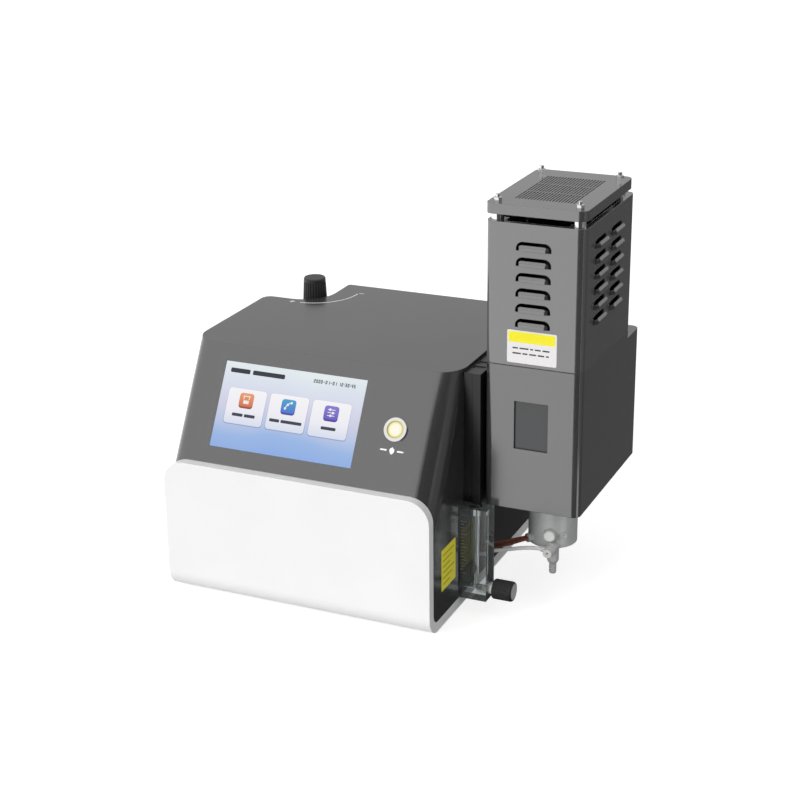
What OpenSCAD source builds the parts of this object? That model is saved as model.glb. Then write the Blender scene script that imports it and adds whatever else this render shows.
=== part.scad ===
// Flame photometer: a bench instrument with a leaning operating panel on a
// white moulded cover, and a burner tower carried on a bracket at its right.
// Lengths are in millimetres. The origin is under the middle of the whole
// instrument, x to the right, y to the back, z up. The modules work in the
// machine's own frame, whose zero is the front left corner of the cover.

/* [Body] */
// Width of the cover and of the housing
body_w = 290; // [284:1:296]
// Depth of the housing and of the base
body_d = 300; // [296:1:310]
// Height of the housing's top above the underside of the base
body_h = 250; // [246:1:254]
// Height of the white front above the underside of the base
cover_h = 144; // [140:1:148]
// Thickness of the white front
cover_t = 10; // [9:0.5:11]
// Thickness of the white base
base_t = 11; // [10:0.5:12]
// Lean of the operating panel from the vertical, in degrees
lean = 30; // [28:1:31]
// Radius of the upper corners of the cover and of the housing's leaning edges
corner_r = 24; // [20:1:26]
// Outer radius of the bend between the front and the base
bend_r = 21; // [19:0.5:22]
// Thickness of the housing's sheet
sheet = 2; // [1.6:0.1:2.2]
// Height of the rubber feet
foot_h = 4; // [3:0.5:5]

/* [Operating panel] */
// Width of the display's window
window_w = 156; // [155:0.5:158]
// Height of the display's window
window_h = 87.6; // [87:0.2:90]
// Left edge of the display's window from the side of the housing
window_x = 43.6; // [41:0.2:46]
// Middle of the display and of the button, down the slope from its top edge
panel_mid = 61.2; // [60:0.2:62]
// Middle of the ignition button from the left side
button_x = 238.6; // [234:0.2:242]
// Outer diameter of the button's ring
button_d = 25; // [24:0.5:27]
// Travel of the button
button_travel = 2.5; // [1.5:0.5:3.5]

/* [Fuel valve] */
// Middle of the fuel knob from the left side
fuel_x = 41; // [39:0.5:43]
// Middle of the fuel knob from the front
fuel_y = 267; // [265:0.5:269]
// Diameter of the fuel knob at its foot
fuel_knob_d = 28; // [25:0.5:28]
// Height of the fuel knob
fuel_knob_h = 38; // [34:1:40]
// Depth of the recess that the fuel knob stands in
recess_depth = 28; // [26:1:30]

/* [Flow meter] */
// Width of the acrylic block, out from the side of the housing
flow_w = 30; // [28:0.5:32]
// Depth of the acrylic block
flow_d = 22; // [20:0.5:24]
// Height of the acrylic block
flow_h = 98.2; // [97:0.1:98.2]
// Front of the acrylic block from the front of the cover
flow_y = 72.5; // [71:0.5:74]
// Rise of the float
float_rise = 52; // [45:1:54]
// Diameter of the flow knob
flow_knob_d = 20.4; // [19:0.2:21.4]

/* [Tower] */
// Gap between the side of the housing and the tower
tower_gap = 20; // [19:0.5:22]
// Width of the tower
tower_w = 98; // [96:1:100]
// Front of the tower from the front of the cover
tower_y = 90; // [88:1:92]
// Depth of the burner housing with its back cover
burner_d = 188; // [184:1:192]
// Depth of the chimney cover
chimney_d = 154; // [150:1:156]
// Underside of the burner housing above the bench
tower_z = 115.5; // [115.5:0.5:117.5]
// Height of the burner housing
burner_h = 147.5; // [146:0.5:149]
// Height of the chimney cover
chimney_h = 140; // [138:1:142]
// Gap between the chimney cover and its top plate
plate_gap = 7; // [6:0.5:8]
// Thickness of the top plate
plate_t = 10; // [9:0.5:11]
// Pitch of the louvres
louvre_pitch = 14.9; // [14.5:0.1:15.3]
// Number of louvres in a column
louvres = 6; // [4:1:6]
// How far the louvres stand out
louvre_out = 4.5; // [3.5:0.1:5]

/* [Burner] */
// Outer diameter of the mixing chamber
chamber_d = 50; // [48:0.5:50]
// Underside of the mixing chamber above the bench
chamber_z = 55; // [54:0.5:57]
// Outer diameter of the copper pipes
pipe_d = 3.5; // [3:0.1:4]

/* [Hidden] */
$fn = 64;
eps = 0.01;

// Heights and corners of the body
base_z = foot_h;
floor_z = base_z + base_t;
cover_top = base_z + cover_h;
body_top = base_z + body_h;
slope_y = cover_t + (body_top - cover_top) * tan(lean);
inner_bend = bend_r - base_t;
chassis_t = 2;
chassis_top = floor_z + chassis_t;

// Recess around the fuel knob
recess_x = 67;
recess_y = 229;
recess_r = 36;
recess_lip = 10;
recess_edge = 3;
recess_z = body_top - recess_depth;

// Tower
tower_x = body_w + tower_gap;
tower_mid = tower_x + tower_w / 2;
burner_x = tower_mid - 1;
burner_y = 163;
tower_r = 8;
tower_sheet = 2;
seam_z = tower_z + burner_h;
chimney_top = seam_z + chimney_h;
plate_z = chimney_top + plate_gap;
plate_d = 146;
stud_dx = 80;
stud_dy = 122;
stud_y = tower_y + 9;
flame_z = 222;
view_w = 34;
view_h = 49;
view_x = tower_x + 31;
view_z = tower_z + 63.5;
louvre_x = tower_mid - 1;
louvre_len = 34.5;
louvre_h = 8.6;
louvre_r = 6.5;
louvre_slot = 2.4;
louvre_top = seam_z + 122.8;

// Whole instrument
hose_out = 24;
overall_w = tower_x + tower_w + louvre_out;
overall_d = body_d + hose_out;

// Flow meter
flow_x = body_w;
flow_z = foot_h + 13;
flow_mid_x = flow_x + flow_w / 2;
flow_mid_y = flow_y + flow_d / 2;
flow_axis_z = flow_z + 11;
float_z = flow_z + 24;
float_h = 12;
tube_h = float_rise + float_h + 2;
tube_top = float_z + tube_h;
port_low = flow_axis_z;
port_high = flow_z + flow_h - 11;

// Burner parts
chamber_r = chamber_d / 2;
chamber_top = tower_z - 10;
collar_z = 87;
neck_d = chamber_d - 5;
drain_x = 366.5;
drain_y = 140;
drain_z = 28;
elbow_y = 134;
nebuliser_y = 121;
nebuliser_z = 57;
sample_bore_len = 9;
jet_bore = 1.4;

module machine() {
    translate([-overall_w / 2, -overall_d / 2, 0]) children();
}

// Places a shape on the leaning panel, v down the slope from its top edge,
// with its z axis straight out of the panel
module on_panel(x, v, out = 0) {
    translate([x, slope_y, body_top]) rotate([90 - lean, 0, 0]) translate([0, -v, out]) children();
}

module rounded_rect(w, d, r) {
    translate([r, 0]) square([w - 2 * r, d]);
    translate([0, r]) square([w, d - 2 * r]);
    for (x = [r, w - r], y = [r, d - r])
        translate([x, y]) circle(r);
}

module rounded_block(size, r) {
    linear_extrude(size[2]) rounded_rect(size[0], size[1], r);
}

// Rods along the machine's axes, from the point p
module rod_x(p, len, d) {
    translate(p) rotate([0, 90, 0]) cylinder(d = d, h = len);
}

module hex_x(p, len, d) {
    translate(p) rotate([0, 90, 0]) cylinder(d = d, h = len, $fn = 6);
}

module hex_y(p, len, d) {
    translate(p) rotate([-90, 0, 0]) cylinder(d = d, h = len, $fn = 6);
}

module rod_y(p, len, d) {
    translate(p) rotate([-90, 0, 0]) cylinder(d = d, h = len);
}

module rod_z(p, len, d) {
    translate(p) cylinder(d = d, h = len);
}

// A pipe along a cubic curve, with a straight run before it and after it
function curve_point(c, t) =
    pow(1 - t, 3) * c[0] + 3 * t * pow(1 - t, 2) * c[1] + 3 * t * t * (1 - t) * c[2] + pow(t, 3) * c[3];
function curve_slope(c, t) =
    3 * pow(1 - t, 2) * (c[1] - c[0]) + 6 * t * (1 - t) * (c[2] - c[1]) + 3 * t * t * (c[3] - c[2]);
function unit(v) = v / norm(v);

module curved_pipe(c, d, before, after, bends = 12, sides = 12) {
    frame_up = [0, 0, 1];
    rings = bends + 2;
    points = [
        for (i = [0 : rings])
            let (
                t = max(0, min(1, (i - 1) / bends)),
                along = unit(curve_slope(c, t)),
                across = unit(cross(along, frame_up)),
                up = cross(across, along),
                run = i == 0 ? -before : i == rings ? after : 0,
                centre = curve_point(c, t) + run * along
            )
            for (k = [0 : sides - 1])
                centre + d / 2 * (cos(360 * k / sides) * across + sin(360 * k / sides) * up)
    ];
    walls = [
        for (i = [0 : rings - 1], k = [0 : sides - 1])
            let (a = i * sides + k, b = i * sides + (k + 1) % sides)
            [a, b, b + sides, a + sides]
    ];
    first = [for (k = [sides - 1 : -1 : 0]) k];
    last = [for (k = [0 : sides - 1]) rings * sides + k];
    polyhedron(points, concat([first], walls, [last]), convexity = 6);
}

// ---- Body ----

// Side outline of the cover: an upright front and a flat base, bent in one
module cover_outline() {
    difference() {
        translate([0, base_z]) square([body_d, cover_h]);
        translate([cover_t, floor_z]) {
            translate([inner_bend, 0]) square([body_d, cover_h]);
            translate([0, inner_bend]) square([body_d, cover_h]);
            translate([inner_bend, inner_bend]) circle(inner_bend);
        }
        difference() {
            translate([-eps, base_z - eps]) square(bend_r + eps);
            translate([bend_r, base_z + bend_r]) circle(bend_r);
        }
    }
}

// Front outline that rounds the cover's two upper corners
module cover_front() {
    translate([0, base_z]) square([body_w, cover_h - corner_r]);
    translate([corner_r, base_z]) square([body_w - 2 * corner_r, cover_h]);
    for (x = [corner_r, body_w - corner_r])
        translate([x, cover_top - corner_r]) circle(corner_r);
}

// Turns an outline in y and z into a solid from x = 0
module across_body(w) {
    rotate([90, 0, 90]) linear_extrude(w) children();
}

module front_cover() {
    color("white") machine() intersection() {
        across_body(body_w) cover_outline();
        translate([0, body_d + 1, 0]) rotate([90, 0, 0]) linear_extrude(body_d + 2) cover_front();
    }
}

// Side outline of the housing, drawn in by t on every side
module housing_outline(t) {
    front = cover_t + t;
    foot = t > 0 ? floor_z - 1 : floor_z;
    top = body_top - t;
    knee = cover_top - t * tan(lean / 2);
    back = t > 0 ? body_d + 1 : body_d;
    edge_y = front + (top - knee) * tan(lean);
    difference() {
        polygon([[front, foot], [back, foot], [back, top], [edge_y, top], [front, knee]]);
        if (t == 0) difference() {
            translate([front - eps, floor_z - eps]) square(inner_bend);
            translate([front + inner_bend, floor_z + inner_bend]) circle(inner_bend);
        }
    }
}

// A block whose leaning front edges are rounded, drawn in by t
module leaning_block(t) {
    r = corner_r - t;
    far = 500;
    on_panel(0, 0) rotate([90, 0, 0]) translate([0, 0, -far]) linear_extrude(2 * far) {
        translate([t, -far]) square([body_w - 2 * t, far - t - r]);
        translate([t + r, -far]) square([body_w - 2 * t - 2 * r, far - t]);
        for (x = [t + r, body_w - t - r])
            translate([x, -t - r]) circle(r);
    }
}

// Plan of the recess at the rear left corner, grown by t
module recess_plan(t) {
    far = body_d + 20;
    r = recess_r + t;
    x = recess_x + t;
    y = recess_y - t;
    lip = recess_lip - t;
    edge = recess_edge - min(t, 1.5);
    translate([-20, y]) square([x - r + 20, far - y]);
    translate([-20, y + r]) square([x + 20, far - y - r]);
    intersection() {
        translate([x - r, y + r]) circle(r);
        translate([x - r - 1, y - 1]) square(r + 2);
    }
    difference() {
        translate([-1, y - lip]) square([lip + 1, lip + 1]);
        translate([lip, y - lip]) circle(lip);
    }
    difference() {
        translate([x - 1, body_d - edge]) square([edge + 1, edge + 1]);
        translate([x + edge, body_d - edge]) circle(edge);
    }
}

module recess(t) {
    translate([0, 0, recess_z - t]) linear_extrude(body_h) recess_plan(t);
}

module housing_solid(t) {
    intersection() {
        translate([t, 0, 0]) across_body(body_w - 2 * t) housing_outline(t);
        leaning_block(t);
    }
}

optics_y = burner_y;
optics_hole = 22;
fitting_hole = 10;
port_d = 5.4;
wall_ports = [[108, 55], [128, 56], [128, 50]];
bolt_holes = [[128, 146], [232, 146], [128, 234], [232, 234]];
flange = 12;

// The flange that the rear panel is screwed to
module housing_flange() {
    far = body_d - 2;
    low = chassis_top + 1;
    difference() {
        translate([sheet - eps, far - 2, low])
            cube([body_w - 2 * sheet + 2 * eps, 2, body_top - sheet - low + eps]);
        translate([sheet + flange, far - 3, low - 1])
            cube([body_w - 2 * (sheet + flange), 4, body_top - sheet - flange - low + 1]);
        recess(sheet);
        for (p = rear_screw_places)
            rod_y([p[0], far - 3, p[1]], 4, 3);
    }
}

module main_housing() {
    color("dimgray") machine() difference() {
        union() {
            difference() {
                housing_solid(0);
                difference() {
                    housing_solid(sheet);
                    recess(sheet);
                }
            }
            housing_flange();
        }
        recess(0);
        on_panel(window_x, panel_mid + window_h / 2, -sheet * 2)
            cube([window_w, window_h, sheet * 4]);
        on_panel(button_x, panel_mid, -sheet * 2) cylinder(d = barrel_d, h = sheet * 4);
        rod_z([fuel_x, fuel_y, recess_z - sheet - 1], sheet + 2, 10);
        rod_x([body_w - sheet - 1, optics_y, flame_z], sheet + 2, optics_hole);
        for (z = [port_low, port_high])
            rod_x([body_w - sheet - 1, flow_mid_y, z], sheet + 2, fitting_hole);
        for (p = wall_ports)
            rod_x([body_w - sheet - 1, p[0], p[1]], sheet + 2, port_d + 0.2);
        for (p = bolt_holes)
            rod_x([body_w - sheet - 1, p[0], p[1]], sheet + 2, 6);
        translate([sheet + inner_bend, cover_t - 1, floor_z - 1])
            cube([body_w - 2 * (sheet + inner_bend), sheet + 2, cover_h - base_t - 26]);
        for (i = [0 : 7])
            translate([-1, 120 + 12 * i, 60]) cube([sheet + 2, 4, 60]);
    }
}

inlet_x = 196;
inlet_z = 26;
inlet_w = 60;
inlet_h = 27.5;
gas_ports = [[40, 84], [90, 84]];
stub_d = 8;

module rear_panel() {
    t = 2;
    color("gray") machine() difference() {
        translate([sheet, body_d - t, chassis_top])
            cube([body_w - 2 * sheet, t, body_top - sheet - chassis_top]);
        translate([-1, body_d - t - 1, recess_z - sheet])
            cube([recess_x + sheet + recess_lip + 1, t + 2, body_h]);
        translate([inlet_x, body_d - t - 1, inlet_z]) cube([inlet_w, t + 2, inlet_h]);
        for (p = gas_ports)
            rod_y([p[0], body_d - t - 1, p[1]], t + 2, 12);
        for (i = [0 : 9])
            translate([150 + 11 * i, body_d - t - 1, 130]) cube([5, t + 2, 60]);
        translate([118, body_d - t - 1, 70]) cube([31.5, t + 2, 13]);
        translate([162, body_d - t - 1, 70]) cube([13, t + 2, 12]);
        for (p = rear_screw_places)
            rod_y([p[0], body_d - t - 1, p[1]], t + 2, 3);
    }
}

rear_screw_places = [[8, 26], [282, 26], [8, 120], [282, 120], [282, 244], [96, 246], [8, 205]];

module rear_screws() {
    color("silver") machine() for (p = rear_screw_places) {
        rod_y([p[0], body_d - 8, p[1]], 8, 3);
        difference() {
            rod_y([p[0], body_d, p[1]], 1.8, 5.6);
            translate([p[0] - 0.5, body_d + 1, p[1] - 2]) cube([1, 1, 4]);
            translate([p[0] - 2, body_d + 1, p[1] - 0.5]) cube([4, 1, 1]);
        }
    }
}

module chassis_plate() {
    color("silver") machine() difference() {
        translate([sheet, cover_t + inner_bend, floor_z])
            cube([body_w - 2 * sheet, body_d - cover_t - inner_bend, chassis_t]);
        for (x = [24, body_w - 24], y = [40, 150, 270])
            rod_z([x, y, floor_z - 1], chassis_t + 2, 4.2);
    }
}

foot_places = [[30, 38], [body_w - 30, 38], [30, 270], [body_w - 30, 270]];

module rubber_feet() {
    color("black") machine() for (p = foot_places) difference() {
        translate([p[0], p[1], 0]) cylinder(d1 = 18, d2 = 22, h = foot_h);
        rod_z([p[0], p[1], -1], foot_h / 2 + 1, 8);
    }
}

// ---- Display ----

glass_t = 2;

module display_glass() {
    gap = 0.2;
    color("lightsteelblue") machine()
        on_panel(window_x + gap, panel_mid + window_h / 2 - gap, -glass_t)
            cube([window_w - 2 * gap, window_h - 2 * gap, glass_t]);
}

module display_module() {
    rim = 5;
    color("darkslategray") machine()
        on_panel(window_x - rim, panel_mid + window_h / 2 + rim, -glass_t - 8)
            cube([window_w + 2 * rim, window_h + 2 * rim, 8]);
}

module display_bracket() {
    plate_w = window_w + 28;
    plate_h = 64;
    color("silver") machine()
        on_panel(window_x - 14, panel_mid + plate_h / 2, -glass_t - 8) {
            translate([0, 0, -1.5]) cube([plate_w, plate_h, 1.5]);
            for (x = [4, plate_w - 4], y = [6, plate_h - 6])
                translate([x, y, 0]) cylinder(d = 6, h = 8);
        }
}

// ---- Ignition button ----

barrel_d = 21.8;
barrel_len = 26;
lens_d = 16.6;
lens_skirt = 4.5;
lens_well = lens_skirt + button_travel + 2;
plunger_end = barrel_len - button_travel - 1.5;

module button_bezel() {
    color("gainsboro") machine() on_panel(button_x, panel_mid) difference() {
        union() {
            cylinder(d1 = button_d, d2 = button_d - 1.6, h = 2.2);
            translate([0, 0, -barrel_len]) cylinder(d = barrel_d, h = barrel_len + eps);
        }
        translate([0, 0, -lens_well]) cylinder(d = lens_d + 0.6, h = lens_well + 3);
        translate([0, 0, -barrel_len - 1]) cylinder(d = 10.6, h = barrel_len);
    }
}

module button_nut() {
    color("silver") machine() on_panel(button_x, panel_mid, -sheet - 4) difference() {
        cylinder(d = 29, h = 4, $fn = 6);
        translate([0, 0, -1]) cylinder(d = barrel_d, h = 6);
    }
}

module button_lens() {
    color("lightyellow") machine() on_panel(button_x, panel_mid) {
        translate([0, 0, -lens_skirt]) cylinder(d = lens_d, h = lens_skirt + 0.6);
        translate([0, 0, 0.6]) cylinder(d1 = lens_d, d2 = lens_d - 2, h = 1);
        translate([0, 0, -plunger_end]) cylinder(d = 10, h = plunger_end - lens_skirt + eps);
    }
}

module button_switch() {
    color("dimgray") machine() on_panel(button_x, panel_mid, -barrel_len - 18) {
        translate([-10, -10, 0]) cube([20, 20, 18]);
        for (x = [-6, 6])
            translate([x - 1.4, -0.4, -7]) cube([2.8, 0.8, 7]);
    }
}

// ---- Fuel valve ----

valve_body_h = 26;
bushing_h = 3.5;
fuel_knob_z = recess_z + bushing_h + 1.5;

module fuel_knob() {
    bevel = 1.2;
    ribs = 26;
    top_d = fuel_knob_d - 4;
    color("black") machine() translate([fuel_x, fuel_y, fuel_knob_z]) difference() {
        union() {
            cylinder(d1 = fuel_knob_d, d2 = top_d, h = fuel_knob_h - bevel);
            translate([0, 0, fuel_knob_h - bevel]) cylinder(d1 = top_d, d2 = top_d - 1.6, h = bevel);
        }
        translate([0, 0, -1]) cylinder(d = 6, h = 21);
        for (i = [0 : ribs - 1])
            rotate([0, 0, 360 * i / ribs]) translate([fuel_knob_d / 2 + 0.5, 0, -1])
                rotate([0, -atan(2 / (fuel_knob_h - bevel)), 0])
                    cylinder(d = 2.4, h = fuel_knob_h - bevel - 2, $fn = 16);
    }
}

module fuel_valve_stem() {
    foot = recess_z - sheet - 12;
    color("silver") machine() rod_z([fuel_x, fuel_y, foot], fuel_knob_z + 20 - foot, 6);
}

module fuel_valve() {
    color("goldenrod") machine() translate([fuel_x, fuel_y, 0]) difference() {
        union() {
            translate([0, 0, recess_z - sheet - valve_body_h]) cylinder(d = 22, h = valve_body_h, $fn = 6);
            rod_z([0, 0, recess_z - sheet - eps], sheet + bushing_h, 10);
            rod_x([-22, 0, recess_z - sheet - valve_body_h + 8], 44, 8);
        }
        rod_z([0, 0, recess_z - sheet - 14], 40, 6.1);
    }
}

module fuel_valve_nut() {
    color("silver") machine() translate([fuel_x, fuel_y, recess_z]) difference() {
        cylinder(d = 16, h = 2.5, $fn = 6);
        translate([0, 0, -1]) cylinder(d = 10, h = 5);
    }
}

// ---- Flow meter ----

tube_low_d = 9.4;
tube_high_d = 10.6;

module flowmeter_block() {
    color("aliceblue", 0.5) machine() difference() {
        translate([flow_x, flow_y, flow_z]) cube([flow_w, flow_d, flow_h]);
        translate([flow_mid_x, flow_mid_y, float_z]) cylinder(d1 = tube_low_d, d2 = tube_high_d, h = tube_h);
        rod_z([flow_mid_x, flow_mid_y, tube_top - eps], flow_z + flow_h - tube_top + 1, 13);
        rod_z([flow_mid_x, flow_mid_y, flow_axis_z], float_z - flow_axis_z + eps, 5);
        rod_x([flow_x - 1, flow_mid_y, port_low], flow_w + 2, 4);
        rod_x([flow_mid_x + 3, flow_mid_y, flow_axis_z], flow_w, 9);
        rod_x([flow_x - 1, flow_mid_y, port_high], flow_w / 2, 4);
    }
}

module flowmeter_float() {
    d = tube_low_d - 1;
    color("firebrick") machine() translate([flow_mid_x, flow_mid_y, float_z]) {
        translate([0, 0, 0.4]) cylinder(d1 = 2, d2 = d, h = 6.6);
        translate([0, 0, 7]) cylinder(d = d, h = 2.5);
        translate([0, 0, 9.5]) cylinder(d = d - 3, h = float_h - 9.5);
    }
}

module flowmeter_plug() {
    color("silver") machine() translate([flow_mid_x, flow_mid_y, 0]) difference() {
        rod_z([0, 0, tube_top], flow_z + flow_h - tube_top, 13);
        translate([-5, -0.7, flow_z + flow_h - 1.2]) cube([10, 1.4, 2]);
    }
}

module flowmeter_fittings() {
    color("goldenrod") machine() for (z = [port_low, port_high]) difference() {
        union() {
            rod_x([flow_x - 20, flow_mid_y, z], 20, 9.8);
            hex_x([flow_x - sheet - 5, flow_mid_y, z], 5, 16);
            rod_x([flow_x - 30, flow_mid_y, z], 10 + eps, 6);
        }
        rod_x([flow_x - 31, flow_mid_y, z], 40, 4);
    }
}

gland_len = 4.6;
knob_x = flow_x + flow_w + gland_len + 0.4;
flow_knob_len = 20.4;

module flow_valve_gland() {
    color("white") machine() difference() {
        union() {
            rod_x([flow_x + flow_w, flow_mid_y, flow_axis_z], gland_len, 12);
            rod_x([flow_x + flow_w - 6, flow_mid_y, flow_axis_z], 6 + eps, 9);
        }
        rod_x([flow_x + flow_w - 10, flow_mid_y, flow_axis_z], 30, 5.1);
    }
}

module flow_valve_stem() {
    color("silver") machine() {
        rod_x([flow_mid_x + 6, flow_mid_y, flow_axis_z], knob_x + 12 - flow_mid_x - 6, 5);
        translate([flow_mid_x + 3, flow_mid_y, flow_axis_z]) rotate([0, 90, 0])
            cylinder(d1 = 1.4, d2 = 5, h = 3 + eps);
    }
}

module flow_knob() {
    ribs = 30;
    color("black") machine() translate([knob_x, flow_mid_y, flow_axis_z]) rotate([0, 90, 0]) difference() {
        union() {
            cylinder(d1 = flow_knob_d - 1, d2 = flow_knob_d, h = 1);
            translate([0, 0, 1]) cylinder(d = flow_knob_d, h = flow_knob_len - 2.4);
            translate([0, 0, flow_knob_len - 1.4]) cylinder(d1 = flow_knob_d, d2 = flow_knob_d - 2, h = 1.4);
        }
        translate([0, 0, -1]) cylinder(d = 5, h = 13);
        translate([0, 0, flow_knob_len - 1]) cylinder(d = 16.2, h = 2);
        for (i = [0 : ribs - 1])
            rotate([0, 0, 360 * i / ribs]) translate([flow_knob_d / 2 + 0.45, 0, -1])
                cylinder(d = 1.8, h = flow_knob_len - 2, $fn = 16);
    }
}

module flow_knob_cap() {
    color("silver") machine() {
        rod_x([knob_x + flow_knob_len - 1, flow_mid_y, flow_axis_z], 1.2, 16);
    }
}

// ---- Bracket between the body and the tower ----

bracket_w = 17.5;
bracket_y = 88;
bracket_d = 176;
bracket_top = body_top - 3;
bolt_places = [[bracket_y + 22, tower_z + 14], [bracket_y + 150, tower_z + 14],
               [bracket_y + 22, tower_z + 122], [bracket_y + 150, tower_z + 122]];

module side_bracket() {
    t = 2;
    h = bracket_top - tower_z;
    color("#3a3a3a") machine() difference() {
        union() {
            difference() {
                translate([body_w, bracket_y, tower_z]) cube([bracket_w, bracket_d, h]);
                translate([body_w + t, bracket_y + t, tower_z - 1])
                    cube([bracket_w - 2 * t, bracket_d - 2 * t, h + 1 - t]);
            }
            translate([body_w + 9, bracket_y - 1, tower_z]) cube([bracket_w - 9, 1 + eps, h]);
            for (p = bolt_places)
                rod_x([body_w + bracket_w - eps, p[0], p[1]], tower_gap - bracket_w + eps, 14);
        }
        rod_x([body_w - 1, optics_y, flame_z], tower_gap + 2, optics_hole);
        for (p = bolt_places)
            rod_x([body_w + bracket_w - t - 1, p[0], p[1]], 10, 6);
        for (p = bolt_holes)
            rod_x([body_w - 1, p[0], p[1]], t + 2, 6);
        for (y = [bracket_y + 14, bracket_y + 28])
            translate([body_w + 3, y, bracket_top - 0.8]) cube([bracket_w - 6, 8, 1]);
    }
}

module bolt_head(p) {
    hex_x(p, 4, 11);
}

module bracket_bolts() {
    color("silver") machine() {
        for (p = bolt_places) {
            rod_x([body_w + bracket_w - 6, p[0], p[1]], tower_gap - bracket_w + 6 + tower_sheet, 6);
            bolt_head([tower_x + tower_sheet, p[0], p[1]]);
        }
        for (p = bolt_holes) {
            rod_x([body_w - sheet, p[0], p[1]], sheet + 8, 6);
            bolt_head([body_w - sheet - 4, p[0], p[1]]);
        }
    }
}

module optical_tube() {
    color("#222222") machine() difference() {
        rod_x([body_w - 22, optics_y, flame_z], tower_gap + 42, 22);
        rod_x([body_w - 23, optics_y, flame_z], tower_gap + 44, 18);
    }
}

// ---- Tower ----

// Outline of a louvre, drawn in by t at its top and ends, with its top edge at
// z = 0 and its hinge line at the bottom
module louvre_outline(t) {
    half = louvre_len / 2 - t;
    r = louvre_r - t;
    intersection() {
        union() {
            translate([-half, -louvre_h]) square([2 * half, louvre_h - t - r]);
            translate([-half + r, -louvre_h]) square([2 * (half - r), louvre_h - t]);
            for (x = [-half + r, half - r])
                translate([x, -t - r]) circle(r);
        }
        translate([-half, -louvre_h]) square([2 * half, louvre_h]);
    }
}

// The outline made solid from y = -out to y = back
module louvre_prism(t, out, back) {
    translate([0, back, 0]) rotate([90, 0, 0]) linear_extrude(out + back) louvre_outline(t);
}

// Side view of a hood that faces -y, drawn in by t: a nearly level underside,
// an upright face and above its shoulder a face that eases back
module hood_side(t, back) {
    shoulder = 5.2;
    ease = 0.55;
    foot = -louvre_h + t;
    translate([-louvre_len / 2, t, 0]) rotate([90, 0, 90]) linear_extrude(louvre_len)
        polygon([[back, foot], [0, foot], [-louvre_out, foot + 1], [-louvre_out, -shoulder],
                 [-louvre_out + (shoulder + 1) * ease, 1], [back, 1]]);
}

// Top view of a hood, drawn in by t: its ends lean in towards the front
module hood_ends(t) {
    half = louvre_len / 2 - louvre_slot - t;
    lean_in = 2;
    translate([0, 0, -louvre_h - 1]) linear_extrude(louvre_h + 3)
        polygon([[-half, 5], [-half, 0], [-half + lean_in, -louvre_out],
                 [half - lean_in, -louvre_out], [half, 0], [half, 5]]);
}

// One hood, open along its top and to the inside, with its foot in the wall
module louvre_hood() {
    skin = 1;
    half = louvre_len / 2 - louvre_slot;
    difference() {
        intersection() {
            hood_side(0, skin);
            hood_ends(0);
            louvre_prism(louvre_slot, louvre_out + 1, 2);
        }
        intersection() {
            hood_side(skin, 3);
            hood_ends(skin);
        }
    }
    translate([-half, 0, -louvre_h - 0.5]) cube([2 * half, skin, 0.5 + eps]);
}

louvre_places = [for (i = [0 : louvres - 1]) louvre_top - louvre_pitch * i];
front_louvres = [for (z = louvre_places) [louvre_x, z]];
side_louvres = [for (y = [136.5, 186], z = louvre_places) [y, z]];

module place_front(p) {
    translate([p[0], tower_y, p[1]]) children();
}

module place_side(p) {
    translate([tower_x + tower_w, p[0], p[1]]) rotate([0, 0, 90]) children();
}

// The cover's lower edge is stepped in, which leaves a groove at the seam
module chimney_cover() {
    t = tower_sheet;
    groove = 0.9;
    color("gray") machine() union() {
        difference() {
            union() {
                translate([tower_x, tower_y, seam_z + groove])
                    rounded_block([tower_w, chimney_d, chimney_h - groove], tower_r);
                translate([tower_x + groove, tower_y + groove, seam_z])
                    rounded_block([tower_w - 2 * groove, chimney_d - 2 * groove, 2 * groove], tower_r - groove);
            }
            translate([tower_x + t, tower_y + t, seam_z - 1])
                rounded_block([tower_w - 2 * t, chimney_d - 2 * t, chimney_h + 1 - t], tower_r - t);
            translate([tower_x + 5, stud_y + 9, chimney_top - t - 1])
                cube([tower_w - 10, stud_dy - 18, t + 2]);
            translate([tower_mid - 31, tower_y + 5, chimney_top - t - 1])
                cube([62, chimney_d - 10, t + 2]);
            for (x = [-1, 1], y = [0, stud_dy])
                rod_z([tower_mid + x * stud_dx / 2, stud_y + y, chimney_top - t - 1], t + 2, 4);
            for (p = front_louvres) place_front(p) louvre_prism(0, 1, t + 1);
            for (p = side_louvres) place_side(p) louvre_prism(0, 1, t + 1);
        }
        for (p = front_louvres) place_front(p) louvre_hood();
        for (p = side_louvres) place_side(p) louvre_hood();
    }
}

// The burner housing is round at its corners where the chimney cover stands on
// it, and square at the back where its back cover joins
module burner_outline(t) {
    d = chimney_d - 2 * t;
    w = tower_w - 2 * t;
    low = t > 0 ? 1 : 0;
    translate([tower_x + t, tower_y + t, tower_z - low]) {
        rounded_block([w, d, burner_h - t + low], tower_r - t);
        translate([0, d / 2, 0]) cube([w, d / 2 + t + low, body_top - t - tower_z + low]);
    }
}

module burner_housing() {
    t = tower_sheet;
    color("gray") machine() difference() {
        burner_outline(0);
        burner_outline(t);
        rod_z([burner_x, burner_y, seam_z - t - 1], t + 2, 66);
        translate([view_x, tower_y - 1, view_z]) cube([view_w, t + 2, view_h]);
        rod_x([tower_x - 1, optics_y, flame_z], t + 2, optics_hole);
        for (p = bolt_places)
            rod_x([tower_x - 1, p[0], p[1]], t + 2, 6);
    }
}

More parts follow.
